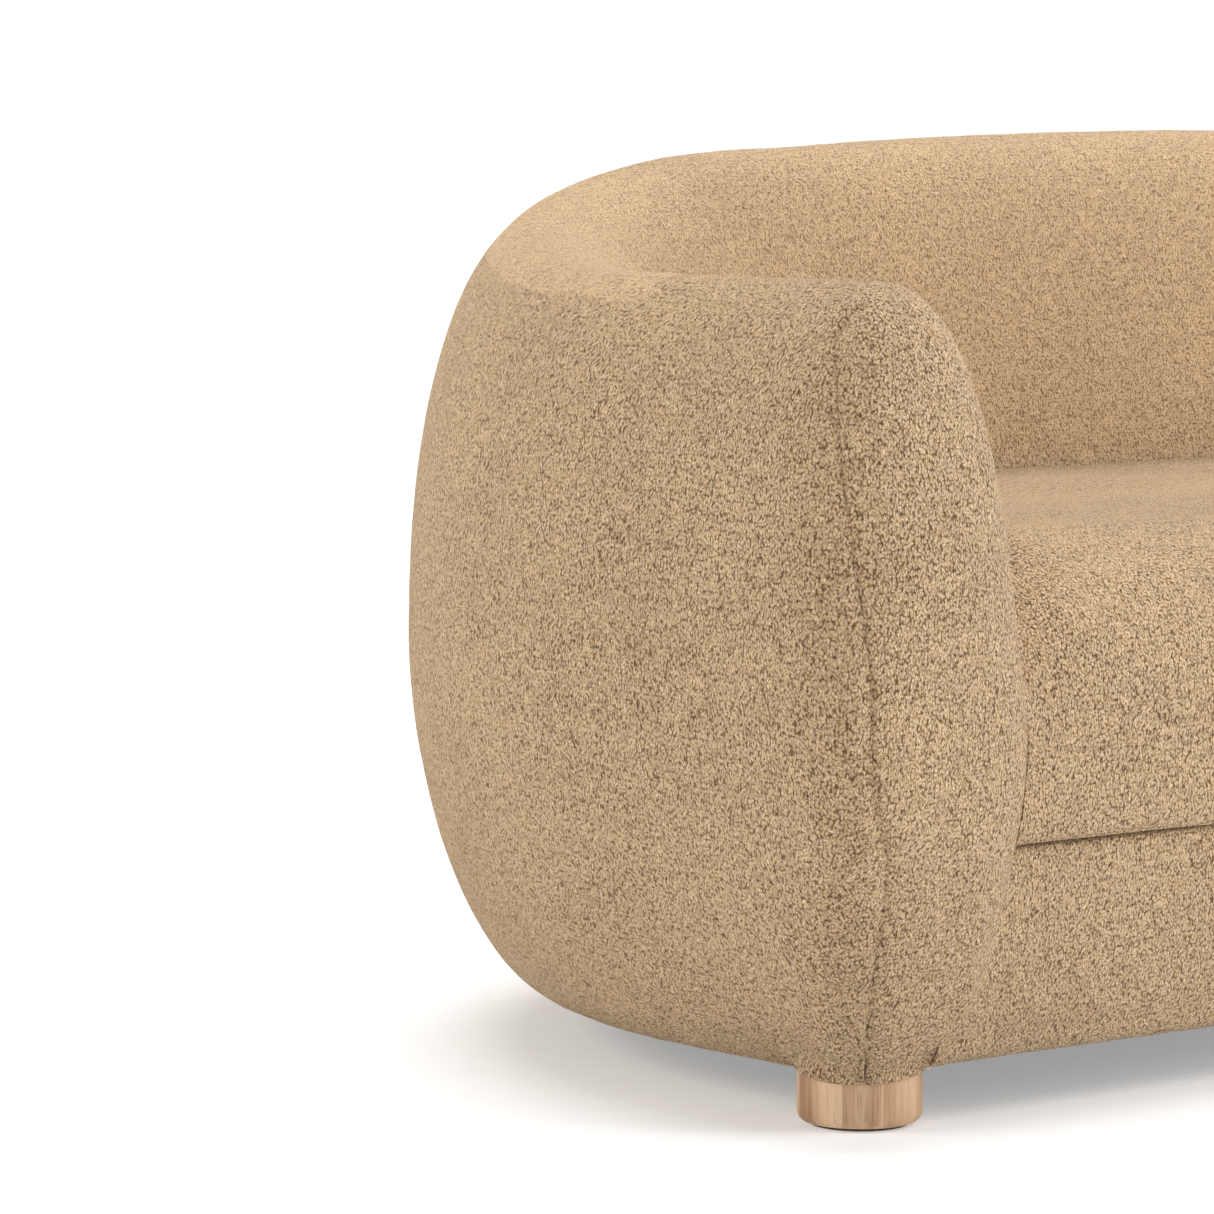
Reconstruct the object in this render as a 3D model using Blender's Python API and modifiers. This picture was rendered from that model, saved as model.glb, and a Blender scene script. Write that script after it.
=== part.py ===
"""Round-cornered upholstered sofa on short turned wooden legs.

Metres, +Z up. The sitter faces -Y, +X is the sofa's long way, and the origin is on the floor in the
middle of the sofa's outline. The arms and the back are one wall that runs round three sides of the
seat: its cross-section is an egg-shaped arch, swept along a plan line with two large round corners
and closed at each front end by a crowned panel. The same arch, set deeper, gives every layer of the
wall: the cloth cover, the foam under it, and the room for the timber frame.
"""
import bpy
import bmesh
from math import cos, sin, radians, pi, atan2
from mathutils import Matrix, Vector

# ---- driving dimensions ---------------------------------------------------------------------
OVERALL_WIDTH = 2.26
OVERALL_DEPTH = 0.955
ARM_HEIGHT = 0.637
CORNER_HEIGHT = 0.727          # crest height where the back's straight run begins
BACK_CROWN = 0.014             # extra height in the middle of the back
UNDERSIDE_HEIGHT = 0.037       # lowest line of the upholstered wall

# the wall's cross-section: insets are measured inwards from its outermost line
WALL_THICKNESS = 0.2185
CREST_INSET = WALL_THICKNESS - 0.1115      # the wall's lines keep their distances from its inner face
BASE_INSET = WALL_THICKNESS - 0.1025
INNER_BASE_INSET = WALL_THICKNESS - 0.0455
OUTER_WIDEST_HEIGHT = 0.325
INNER_WIDEST_HEIGHT = 0.253
SKIRT_HEIGHT = 0.207           # the inside cover is tucked in at this height
LOWER_ROUNDNESS = 1.77         # exponents of the four quarter curves: 2 is an ellipse, more is squarer
SHOULDER_ROUNDNESS = 2.11
INNER_SHOULDER_ROUNDNESS = 2.68
INNER_LOWER_ROUNDNESS = 2.2

# the plan line and the front ends
CORNER_RADIUS = 0.64           # outermost plan radius of the two rear corners
FRONT_CROWN = 0.098            # how far a front panel stands out of the straight arm
PANEL_ROUNDNESS = {"out": 3.5, "in": 3.04, "top": 2.04, "bottom": 1.43}
RISE_START, RISE_END = radians(7), radians(92)   # where the crest climbs from arm to back
SEAM_REACH = radians(58)       # how far the front corner seam moves onto the panel, at mid height
SEAM_TOP = (radians(80), 4, 0.645)         # bearing where it ends, and two exponents of its bow
SEAM_BOTTOM = (radians(89.5), 5, 0.75)

# seat and front border
SEAT_HEIGHT = 0.441
SEAT_REAR_HEIGHT = 0.436
SEAT_FRONT_INSET = 0.036       # seat's front behind the arms' foremost line
SEAT_FRONT_RADIUS = 0.125
SEAT_SIDE_DROP = 0.030
SEAT_FRONT_TUCK = 0.010        # how far the seat's front turns back at its seam
SEAT_REAR_TUCK = 0.020         # height of the seat's turned-down rear edge
BORDER_SEAM_HEIGHT = 0.213
BORDER_INSET = 0.046           # border's fullest line behind the arms' foremost line
BORDER_BULGE = 0.022           # how much further back its lower edge lies
BORDER_BOTTOM_HEIGHT = 0.046
BORDER_EDGE_RADIUS = 0.020     # the border's lower edge
BORDER_TUCK = 0.010            # and its smaller upper edge

# layers
COVER_THICKNESS = 0.003
FOAM_THICKNESS = 0.030
LAYER_GAP = 0.0012
FIT_GAP = 0.0006               # between neighbouring upholstered pieces
BORDER_END_GAP = 0.0070        # between the border and the arms' hollow-fitting sides
CONTACT_GAP = 0.0003           # between hard pieces that touch
SEAM_GAP = 0.0006              # between two covers along their seam
SEAM_GAP_ANGLE = 0.009         # the same, as an angle round the front edge

# legs
LEG_DIAMETER = 0.095
LEG_INSET = WALL_THICKNESS - 0.0885        # a front leg's centre from the outermost lines
REAR_LEG_ANGLE = radians(59)   # a rear leg's place round the corner, from the side
PAD_DIAMETER = 0.074
PAD_THICKNESS = 0.002
LEG_TOP_HEIGHT = 0.0605
LEG_EDGE_RADIUS = 0.006
LEG_HOLE_CLEARANCE = 0.0015
BLOCK_THICKNESS = 0.018
BOLT_DIAMETER = 0.008
BOLT_CLEARANCE = 0.0004
BOLT_DEPTH_IN_LEG = 0.030

# timber frame
FRAME_INSET = WALL_THICKNESS - 0.0865      # the frame boards' centre line, likewise
BOARD_THICKNESS = 0.025
RAIL_SETBACK = 0.004           # front rail behind the line where the arms meet their front panels
BASE_RAIL_HEIGHT = 0.105
TOP_RAIL_HEIGHT = 0.045
ARM_FRAME_TOP = 0.545
BACK_FRAME_TOP = 0.645
POST_WIDTH = 0.045
CROSS_RAIL_X = 0.40
CROSS_RAIL_HEIGHT = 0.075

# springs, webbing, sheets
OUTER_SPRING_REACH = 0.20      # how far outside the plan corners' centres the outer springs lie
SPRING_WIRE = 0.0038
SPRING_WIDTH = 0.046
SPRING_LOOPS = 16
SPRING_RISE = 0.006
STRIP_THICKNESS = 0.002
INSULATOR_THICKNESS = 0.003
WEBBING_THICKNESS = 0.0015
WEBBING_WIDTH = 0.060
WEBBING_HEIGHTS = {"low": 0.28, "middle": 0.40, "high": 0.52}
DUST_COVER_THICKNESS = 0.0012

# resolution
QUARTER_STEPS = 5              # steps in each quarter of the wall's section
CORNER_STEPS = 7
PANEL_STEPS = 5
ROUND_SIDES = 24

# ---- sizes worked out from them -------------------------------------------------------------
HALF_WIDTH = OVERALL_WIDTH / 2
REAR_Y = OVERALL_DEPTH / 2
FRONT_Y = -OVERALL_DEPTH / 2
JOINT_Y = FRONT_Y + FRONT_CROWN                 # where the straight arm meets its front panel
CORNER_X = HALF_WIDTH - CORNER_RADIUS           # centres of the plan corners
CORNER_Y = REAR_Y - CORNER_RADIUS
FOAM_OUTER = COVER_THICKNESS + LAYER_GAP
FOAM_INNER = FOAM_OUTER + FOAM_THICKNESS
BLOCK_TOP = LEG_TOP_HEIGHT + CONTACT_GAP + BLOCK_THICKNESS
DUST_COVER_TOP = BLOCK_TOP + 2 * CONTACT_GAP
RAIL_BOTTOM = DUST_COVER_TOP + CONTACT_GAP
RAIL_TOP = RAIL_BOTTOM + BASE_RAIL_HEIGHT
STRIP_TOP = RAIL_TOP + CONTACT_GAP + STRIP_THICKNESS
SPRING_END_HEIGHT = STRIP_TOP + CONTACT_GAP + SPRING_WIRE / 2
SEAT_BASE = BORDER_SEAM_HEIGHT + FIT_GAP
INSULATOR_TOP = SEAT_BASE - CONTACT_GAP
FRAME_OUTER_INSET = FRAME_INSET - BOARD_THICKNESS / 2
FRAME_INNER_INSET = FRAME_INSET + BOARD_THICKNESS / 2
FRONT_RAIL_Y = JOINT_Y + RAIL_SETBACK + BOARD_THICKNESS / 2
BACK_RAIL_Y = REAR_Y - FRAME_INSET

CLOTH = ("cloth", (0.50, 0.33, 0.19, 1), 0.95, 0.0)
LEG_WOOD = ("leg_wood", (0.62, 0.42, 0.26, 1), 0.45, 0.0)
FRAME_WOOD = ("frame_wood", (0.66, 0.50, 0.32, 1), 0.7, 0.0)
FOAM = ("foam", (0.85, 0.80, 0.62, 1), 0.95, 0.0)
STEEL = ("steel", (0.45, 0.45, 0.46, 1), 0.35, 1.0)
FELT = ("felt", (0.12, 0.11, 0.10, 1), 0.95, 0.0)
WEBBING = ("webbing", (0.20, 0.20, 0.21, 1), 0.85, 0.0)
SHEET = ("sheet", (0.03, 0.03, 0.03, 1), 0.95, 0.0)


# ---- scene helpers --------------------------------------------------------------------------
def clear_scene():
    for obj in list(bpy.data.objects):
        bpy.data.objects.remove(obj, do_unlink=True)


def new_collection(name):
    collection = bpy.data.collections.new(name)
    bpy.context.scene.collection.children.link(collection)
    return collection


def material(spec):
    name, colour, roughness, metallic = spec
    found = bpy.data.materials.get(name)
    if found:
        return found
    made = bpy.data.materials.new(name)
    made.use_nodes = True
    shader = made.node_tree.nodes["Principled BSDF"]
    shader.inputs["Base Color"].default_value = colour
    shader.inputs["Roughness"].default_value = roughness
    shader.inputs["Metallic"].default_value = metallic
    made.diffuse_color = colour
    return made


def add_object(name, mesh, spec, smooth=False):
    obj = bpy.data.objects.new(name, mesh)
    PARTS.objects.link(obj)
    mesh.materials.append(material(spec))
    if smooth:
        mesh.shade_smooth()
        mesh.set_sharp_from_angle(angle=radians(35))
    return obj


def finish_mesh(name, bm, spec, smooth=False):
    bmesh.ops.recalc_face_normals(bm, faces=bm.faces)
    mesh = bpy.data.meshes.new(name)
    bm.to_mesh(mesh)
    bm.free()
    return add_object(name, mesh, spec, smooth)


def board(name, size, centre, spec=FRAME_WOOD):
    """A straight board: a cube sized in its mesh and placed by its location."""
    bm = bmesh.new()
    bmesh.ops.create_cube(bm, size=1.0, matrix=Matrix.Diagonal((*size, 1.0)))
    obj = finish_mesh(name, bm, spec)
    obj.location = centre
    return obj


def cylinder(name, radius, low, high, place, spec=None):
    """An upright cylinder standing at place; without a material it is a bare cutter."""
    bm = bmesh.new()
    bmesh.ops.create_cone(bm, cap_ends=True, segments=ROUND_SIDES, radius1=radius, radius2=radius,
                          depth=high - low)
    mesh = bpy.data.meshes.new(name)
    bm.to_mesh(mesh)
    bm.free()
    location = (place[0], place[1], (low + high) / 2)
    if spec:
        obj = add_object(name, mesh, spec, smooth=True)
    else:
        obj = bpy.data.objects.new(name, mesh)
        CUTTERS.objects.link(obj)
        obj.hide_render = True
        obj.display_type = "WIRE"
    obj.location = location
    return obj


def cut(obj, cutters):
    for cutter in cutters:
        boolean = obj.modifiers.new("cut_" + cutter.name, "BOOLEAN")
        boolean.operation = "DIFFERENCE"
        boolean.solver = "EXACT"
        boolean.object = cutter


# ---- the wall's section and plan ------------------------------------------------------------
def power(value, exponent):
    return max(value, 0.0) ** (2 / exponent)


def inner_inset(height, depth=0.0):
    """Inset of the wall's inner face at a height, for a layer at the given depth."""
    if height >= INNER_WIDEST_HEIGHT:
        rise, roundness = ARM_HEIGHT - depth - INNER_WIDEST_HEIGHT, INNER_SHOULDER_ROUNDNESS
        base = CREST_INSET
    else:
        rise, roundness = INNER_WIDEST_HEIGHT - UNDERSIDE_HEIGHT - depth, INNER_LOWER_ROUNDNESS
        base = INNER_BASE_INSET
    share = min(abs(height - INNER_WIDEST_HEIGHT) / rise, 1.0)
    return base + (WALL_THICKNESS - depth - base) * (1 - share ** roundness) ** (1 / roundness)


def wall_section(depth, crest, closed):
    """(inset, height) points of the arch, from its outer foot over the crest to its inner foot."""
    angles = [pi / 2 * step / QUARTER_STEPS for step in range(QUARTER_STEPS + 1)]
    points = []
    for angle in angles:
        points.append((BASE_INSET - (BASE_INSET - depth) * power(sin(angle), LOWER_ROUNDNESS),
                       OUTER_WIDEST_HEIGHT - (OUTER_WIDEST_HEIGHT - UNDERSIDE_HEIGHT - depth)
                       * power(cos(angle), LOWER_ROUNDNESS)))
    for angle in angles[1:]:
        points.append((CREST_INSET - (CREST_INSET - depth) * power(cos(angle), SHOULDER_ROUNDNESS),
                       OUTER_WIDEST_HEIGHT + (crest - depth - OUTER_WIDEST_HEIGHT)
                       * power(sin(angle), SHOULDER_ROUNDNESS)))
    for angle in angles[1:]:
        points.append((CREST_INSET + (WALL_THICKNESS - depth - CREST_INSET)
                       * power(sin(angle), INNER_SHOULDER_ROUNDNESS),
                       INNER_WIDEST_HEIGHT + (crest - depth - INNER_WIDEST_HEIGHT)
                       * power(cos(angle), INNER_SHOULDER_ROUNDNESS)))
    points.append((inner_inset(SKIRT_HEIGHT, depth), SKIRT_HEIGHT))
    if closed:
        low = UNDERSIDE_HEIGHT + depth
        for share in (0.62, 0.30, 0.08, 0.0):
            height = low + (SKIRT_HEIGHT - low) * share
            points.append((inner_inset(height, depth), height))
    return points


CREST_SEAM_INDEX = 2 * QUARTER_STEPS - 1      # the seam runs on the outer shoulder, just under the crest
SKIRT_INDEX = 3 * QUARTER_STEPS + 1


def crest_height(angle, back_share=0.0):
    """Crest height at a corner angle (0 at the arm, 90 degrees at the back)."""
    share = min(max((angle - RISE_START) / (RISE_END - RISE_START), 0.0), 1.0)
    blend = share * share * (3 - 2 * share)
    crown = BACK_CROWN * (1 - (1 - back_share) ** 2)
    return ARM_HEIGHT + (CORNER_HEIGHT - ARM_HEIGHT) * blend + crown


def side_station(y):
    return lambda inset: (-HALF_WIDTH + inset, y), crest_height(0.0)


def corner_station(angle):
    def place(inset):
        radius = CORNER_RADIUS - inset
        return -CORNER_X - radius * cos(angle), CORNER_Y + radius * sin(angle)
    return place, crest_height(angle)


def back_station(x):
    return lambda inset: (x, REAR_Y - inset), crest_height(pi / 2, 1 - abs(x) / CORNER_X)


def mirrored(station):
    place, crest = station
    return lambda inset: (-place(inset)[0], place(inset)[1]), crest


def station_row(station, depth, closed=False):
    place, crest = station
    return [Vector((*place(inset), height)) for inset, height in wall_section(depth, crest, closed)]


def seam_angle(index, section):
    """How far round the front edge the seam lies, for a point of the closed section."""
    inset, height = section[index]
    middle_inset = WALL_THICKNESS / 2
    middle_height = (OUTER_WIDEST_HEIGHT + INNER_WIDEST_HEIGHT) / 2
    if index >= CREST_SEAM_INDEX or index == 0:
        return 0.0
    bearing = atan2(height - middle_height, middle_inset - inset)
    limit, squareness, softness = SEAM_TOP if bearing > 0 else SEAM_BOTTOM
    return SEAM_REACH * (1 - min(abs(bearing) / limit, 1.0) ** squareness) ** softness


def panel_point(index, angle, depth):
    """A point of a left front panel: angle 0 is the straight arm's end, 90 degrees its middle."""
    section = wall_section(depth, ARM_HEIGHT, True)
    outline = wall_section(0.0, ARM_HEIGHT, True)
    inset, height = section[index]
    middle = (WALL_THICKNESS / 2, (OUTER_WIDEST_HEIGHT + INNER_WIDEST_HEIGHT) / 2)
    bearing = atan2(outline[index][1] - middle[1], middle[0] - outline[index][0])
    roundness = (PANEL_ROUNDNESS["out"] * max(cos(bearing), 0) ** 2
                 + PANEL_ROUNDNESS["in"] * max(-cos(bearing), 0) ** 2
                 + PANEL_ROUNDNESS["top"] * max(sin(bearing), 0) ** 2
                 + PANEL_ROUNDNESS["bottom"] * max(-sin(bearing), 0) ** 2)
    share = power(cos(angle), roundness)
    crown = (FRONT_CROWN - depth) * power(sin(angle), roundness)
    return Vector((-HALF_WIDTH + middle[0] + (inset - middle[0]) * share, JOINT_Y - crown,
                   middle[1] + (height - middle[1]) * share))


# ---- building from grids --------------------------------------------------------------------
class Layers:
    """Collects patches of one surface at two depths, and closes them into a shell."""

    def __init__(self, mirror=False):
        self.keys = {}
        self.outer = []
        self.inner = []
        self.faces = []
        self.mirror = mirror

    def vertex(self, outer, inner):
        if self.mirror:
            outer, inner = Vector((-outer.x, outer.y, outer.z)), Vector((-inner.x, inner.y, inner.z))
        key = tuple(round(value, 5) for value in outer)
        if key not in self.keys:
            self.keys[key] = len(self.outer)
            self.outer.append(outer)
            self.inner.append(inner)
        return self.keys[key]

    def patch(self, outer_rows, inner_rows, around=False):
        ids = [[self.vertex(a, b) for a, b in zip(*rows)] for rows in zip(outer_rows, inner_rows)]
        count = len(ids[0])
        for row, following in zip(ids, ids[1:]):
            for step in range(count if around else count - 1):
                after = (step + 1) % count
                loop = [row[step], row[after], following[after], following[step]]
                # every layer is split along the same diagonal, so that its neighbours stay parallel
                for face in ((loop[0], loop[1], loop[2]), (loop[0], loop[2], loop[3])):
                    if len(set(face)) == 3:
                        self.faces.append(face)

    def shell(self, name, spec):
        bm = bmesh.new()
        outer = [bm.verts.new(point) for point in self.outer]
        inner = [bm.verts.new(point) for point in self.inner]
        for face in self.faces:
            bm.faces.new([outer[v] for v in face])
        rim = [edge for edge in bm.edges if edge.is_boundary]
        place = {vert: step for step, vert in enumerate(outer)}
        rim = [(place[edge.verts[0]], place[edge.verts[1]]) for edge in rim]
        for face in self.faces:
            bm.faces.new([inner[v] for v in reversed(face)])
        for a, b in rim:
            bm.faces.new([outer[a], outer[b], inner[b], inner[a]])
        return finish_mesh(name, bm, spec, smooth=True)


def lofted(name, rings, spec, smooth=False):
    """A solid through closed rings of equal count, with flat ends."""
    bm = bmesh.new()
    loops = [[bm.verts.new(point) for point in ring] for ring in rings]
    for loop, following in zip(loops, loops[1:]):
        for step in range(len(loop)):
            bm.faces.new([loop[step - 1], loop[step], following[step], following[step - 1]])
    bm.faces.new(loops[0])
    bm.faces.new(loops[-1])
    return finish_mesh(name, bm, spec, smooth)


# ---- wall: covers and foam ------------------------------------------------------------------
def corner_angles():
    return [pi / 2 * step / CORNER_STEPS for step in range(CORNER_STEPS + 1)]


def left_half(first):
    """Stations from a left start round to the middle of the back."""
    return first + [corner_station(angle) for angle in corner_angles()] + back_half()


def back_half():
    return [back_station(-CORNER_X / 2), back_station(0.0)]


def seam_edge(row):
    """The row with its last point drawn back by the seam gap."""
    return row[:-1] + [row[-1] + (row[-2] - row[-1]).normalized() * SEAM_GAP]


def outside_cover():
    section = wall_section(0.0, ARM_HEIGHT, True)
    stations = left_half([side_station(JOINT_Y)])
    depths = (0.0, COVER_THICKNESS)
    layers = Layers()
    for side in (False, True):
        layers.mirror = side
        layers.patch(*[[seam_edge(station_row(s, depth)[:CREST_SEAM_INDEX + 1]) for s in stations]
                       for depth in depths])
        layers.patch(*[[seam_edge([panel_point(index, seam_angle(index, section) * step / 2, depth)
                                   for index in range(CREST_SEAM_INDEX + 1)])
                        for step in range(3)] for depth in depths])
    return layers.shell("outside_cover", CLOTH)


def arm_cover(name, mirror):
    """The front panel and the inside of the arm, in one piece of cloth up to the crest seam."""
    section = wall_section(0.0, ARM_HEIGHT, True)
    depths = (0.0, COVER_THICKNESS)

    def angle_of(index, step):
        start = seam_angle(index, section) + (SEAM_GAP_ANGLE if index < CREST_SEAM_INDEX else 0.0)
        return start + (pi / 2 - start) * step / PANEL_STEPS
    layers = Layers(mirror)
    layers.patch(*[[[panel_point(index, angle_of(index, step), depth) for index in range(len(section))]
                    for step in range(PANEL_STEPS + 1)] for depth in depths], around=True)
    ends = [side_station(JOINT_Y), side_station(CORNER_Y - SEAM_GAP)]
    layers.patch(*[[station_row(s, depth)[CREST_SEAM_INDEX:SKIRT_INDEX + 1] for s in ends]
                   for depth in depths])
    return layers.shell(name, CLOTH)


def back_cover():
    layers = Layers()
    for side in (False, True):
        layers.mirror = side
        layers.patch(*[[station_row(s, depth)[CREST_SEAM_INDEX:SKIRT_INDEX + 1] for s in left_half([])]
                       for depth in (0.0, COVER_THICKNESS)])
    return layers.shell("back_cover", CLOTH)


def wall_foam(name, stations, sides, panel=False):
    """A foam layer of the wall; sides says which halves it has: False is left, True is right."""
    section = wall_section(0.0, ARM_HEIGHT, True)
    depths = (FOAM_OUTER, FOAM_INNER)

    def angle_of(index, step):
        seam = seam_angle(index, section)
        return seam * step / 2 if step <= 2 else seam + (pi / 2 - seam) * (step - 2) / PANEL_STEPS
    layers = Layers()
    for side in sides:
        layers.mirror = side
        layers.patch(*[[station_row(s, depth) for s in stations] for depth in depths])
        if panel:
            layers.patch(*[[[panel_point(index, angle_of(index, step), depth)
                             for index in range(len(section))] for step in range(PANEL_STEPS + 3)]
                           for depth in depths], around=True)
    return layers.shell(name, FOAM)


def wall_layers(holes):
    cut(outside_cover(), holes)
    back_cover()
    arm_run = [side_station(JOINT_Y), side_station(CORNER_Y - FIT_GAP)]
    turn = FIT_GAP / (CORNER_RADIUS - WALL_THICKNESS)
    corner_run = [corner_station(min(angle, pi / 2 - turn)) for angle in corner_angles()]
    for side, mirror in (("left", False), ("right", True)):
        cut(arm_cover(side + "_arm_cover", mirror), holes)
        cut(wall_foam(side + "_arm_foam", arm_run, [mirror], panel=True), holes)
        cut(wall_foam(side + "_corner_foam", corner_run, [mirror]), holes)
    wall_foam("back_foam", [back_station(-CORNER_X)] + back_half(), [False, True])


# ---- seat and front border ------------------------------------------------------------------
def seat_half_width(y, inset):
    """Half the width inside the wall at a depth y, for an outline at the given inset."""
    if y <= CORNER_Y:
        return HALF_WIDTH - inset
    radius = CORNER_RADIUS - inset
    return CORNER_X + max(radius ** 2 - (y - CORNER_Y) ** 2, 0.0) ** 0.5


def seat_profile(depth):
    """(y, height) from the front seam over the rounded front and the top to the rear edge."""
    front = FRONT_Y + SEAT_FRONT_INSET
    rear = REAR_Y - WALL_THICKNESS - FIT_GAP - depth
    round_start = SEAT_HEIGHT - SEAT_FRONT_RADIUS
    points = [(front + SEAT_FRONT_TUCK + depth, SEAT_BASE),
              (front + 0.2 * SEAT_FRONT_TUCK + depth, SEAT_BASE + 3.5 * SEAT_FRONT_TUCK)]
    for step in range(7):
        angle = pi / 2 * step / 6
        points.append((front + SEAT_FRONT_RADIUS - (SEAT_FRONT_RADIUS - depth) * cos(angle),
                       round_start + (SEAT_FRONT_RADIUS - depth) * sin(angle)))
    arc = rear - CORNER_Y
    fall = SEAT_HEIGHT - SEAT_REAR_HEIGHT
    # the same angles as the wall's plan corners, so that the facets run side by side
    for angle in corner_angles()[:-1]:
        points.append((CORNER_Y + arc * sin(angle), SEAT_HEIGHT - depth - fall * sin(angle)))
    points.append((rear, SEAT_REAR_HEIGHT - SEAT_REAR_TUCK - depth))
    points.append((rear, SEAT_BASE))
    return points


def seat_grid(depth):
    shares = (0.0, 0.35, 0.7, 0.9, 0.955, 0.985, 1.0)
    columns = [-share for share in reversed(shares[1:])] + list(shares)
    rows = []
    for y, height in seat_profile(depth):
        half = seat_half_width(y, WALL_THICKNESS + FIT_GAP + depth)
        fullness = (height - SEAT_BASE) / (SEAT_HEIGHT - SEAT_BASE)
        row = [Vector((-half, y, SEAT_BASE))]
        for column in columns:
            edge = max(abs(column) - shares[3], 0.0) / (1 - shares[3])
            row.append(Vector((column * half, y, height - SEAT_SIDE_DROP * fullness * edge ** 2)))
        rows.append(row + [Vector((half, y, SEAT_BASE))])
    return rows


def seat_cover():
    layers = Layers()
    layers.patch(seat_grid(0.0), seat_grid(COVER_THICKNESS))
    return layers.shell("seat_cover", CLOTH)


def seat_foam():
    layers = Layers()
    grid = seat_grid(FOAM_OUTER)
    layers.patch(grid, grid)
    bm = bmesh.new()
    verts = [bm.verts.new(point) for point in layers.outer]
    for face in layers.faces:
        bm.faces.new([verts[v] for v in face])
    bmesh.ops.holes_fill(bm, edges=[edge for edge in bm.edges if edge.is_boundary], sides=0)
    return finish_mesh("seat_foam", bm, FOAM, smooth=True)


def border_profile(depth):
    """(y, height) round the front border, from its lower rear edge to its upper rear edge."""
    rear = FRONT_RAIL_Y - BOARD_THICKNESS / 2 - CONTACT_GAP
    top_front = FRONT_Y + BORDER_INSET
    low_front = top_front + BORDER_BULGE
    low, high = BORDER_BOTTOM_HEIGHT + depth, BORDER_SEAM_HEIGHT - depth
    radius = BORDER_EDGE_RADIUS
    points = [(rear, low)]
    for step in range(4):
        angle = pi / 2 * step / 3
        points.append((low_front + radius - (radius - depth) * sin(angle),
                       BORDER_BOTTOM_HEIGHT + radius - (radius - depth) * cos(angle)))
    face = BORDER_SEAM_HEIGHT - BORDER_BOTTOM_HEIGHT
    points.append((low_front - 0.7 * BORDER_BULGE + depth, BORDER_BOTTOM_HEIGHT + 0.45 * face))
    points.append((top_front - 0.001 + depth, BORDER_BOTTOM_HEIGHT + 0.78 * face))
    points.append((top_front + depth, high - BORDER_TUCK))
    points.append((top_front + 0.8 * BORDER_TUCK + depth, high))
    return points + [(rear, high)]


def border_rings(depth, end_gap):
    shares = (-1.0, -0.5, 0.0, 0.5, 1.0)
    rings = []
    for share in shares:
        rings.append([Vector((share * (HALF_WIDTH - inner_inset(height) - end_gap), y, height))
                      for y, height in border_profile(depth)])
    return rings


def border():
    layers = Layers()
    layers.patch(border_rings(0.0, BORDER_END_GAP), border_rings(COVER_THICKNESS, BORDER_END_GAP))
    layers.shell("front_border_cover", CLOTH)
    rings = []
    for ring in border_rings(FOAM_OUTER, BORDER_END_GAP):
        face = ring[4:8]           # the upright front face, which the rear face mirrors
        rings.append(ring + [Vector((point.x, ring[-1].y, point.z)) for point in reversed(face)])
    lofted("front_border_foam", rings, FOAM)


# ---- legs -----------------------------------------------------------------------------------
def leg_places():
    front = (HALF_WIDTH - LEG_INSET, FRONT_Y + LEG_INSET)
    radius = CORNER_RADIUS - FRAME_INSET
    rear = (CORNER_X + radius * cos(REAR_LEG_ANGLE), CORNER_Y + radius * sin(REAR_LEG_ANGLE))
    return {"front_left": (-front[0], front[1]), "front_right": front,
            "rear_left": (-rear[0], rear[1]), "rear_right": rear}


def turned_leg(name, place, bolt_hole):
    """A short cylinder with a rounded foot, turned from a profile that runs down its outer side."""
    radius = LEG_DIAMETER / 2
    profile = [(0.0, LEG_TOP_HEIGHT), (radius - 0.001, LEG_TOP_HEIGHT), (radius, LEG_TOP_HEIGHT - 0.001)]
    for step in range(5):
        angle = pi / 2 * step / 4
        profile.append((radius - LEG_EDGE_RADIUS * (1 - cos(angle)),
                        PAD_THICKNESS + CONTACT_GAP + LEG_EDGE_RADIUS * (1 - sin(angle))))
    profile.append((0.0, PAD_THICKNESS + CONTACT_GAP))
    mesh = bpy.data.meshes.new(name)
    mesh.from_pydata([(x, 0, z) for x, z in profile], [(i, i + 1) for i in range(len(profile) - 1)], [])
    obj = add_object(name, mesh, LEG_WOOD)
    obj.location = (*place, 0)
    screw = obj.modifiers.new("turn", "SCREW")
    screw.steps = screw.render_steps = ROUND_SIDES
    screw.use_merge_vertices = True
    screw.merge_threshold = 0.0001
    screw.use_smooth_shade = False
    cut(obj, [bolt_hole])


def legs():
    holes = []
    bolt_radius = BOLT_DIAMETER / 2
    bolt_low = LEG_TOP_HEIGHT - BOLT_DEPTH_IN_LEG
    for corner, place in leg_places().items():
        holes.append(cylinder(corner + "_leg_hole", LEG_DIAMETER / 2 + LEG_HOLE_CLEARANCE, -0.01,
                              BLOCK_TOP + CONTACT_GAP, place))
        bolt_hole = cylinder(corner + "_bolt_hole", bolt_radius + BOLT_CLEARANCE,
                             bolt_low - BOLT_CLEARANCE, BLOCK_TOP + 0.01, place)
        turned_leg(corner + "_leg", place, bolt_hole)
        cylinder(corner + "_leg_pad", PAD_DIAMETER / 2, 0.0, PAD_THICKNESS, place, FELT)
        cylinder(corner + "_leg_bolt", bolt_radius, bolt_low, BLOCK_TOP, place, STEEL)
        block = cylinder(corner + "_leg_block", LEG_DIAMETER / 2 - 0.001, LEG_TOP_HEIGHT + CONTACT_GAP,
                         BLOCK_TOP, place, FRAME_WOOD)
        cut(block, [bolt_hole])
    return holes


# ---- timber frame ---------------------------------------------------------------------------
def swept_board(name, stations, insets, heights, spec=FRAME_WOOD):
    """A board that follows the wall's plan line between two insets and two heights."""
    rings = []
    for place, _ in stations:
        rings.append([Vector((*place(insets[0]), heights[0])), Vector((*place(insets[1]), heights[0])),
                      Vector((*place(insets[1]), heights[1])), Vector((*place(insets[0]), heights[1]))])
    return lofted(name, rings, spec)


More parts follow.
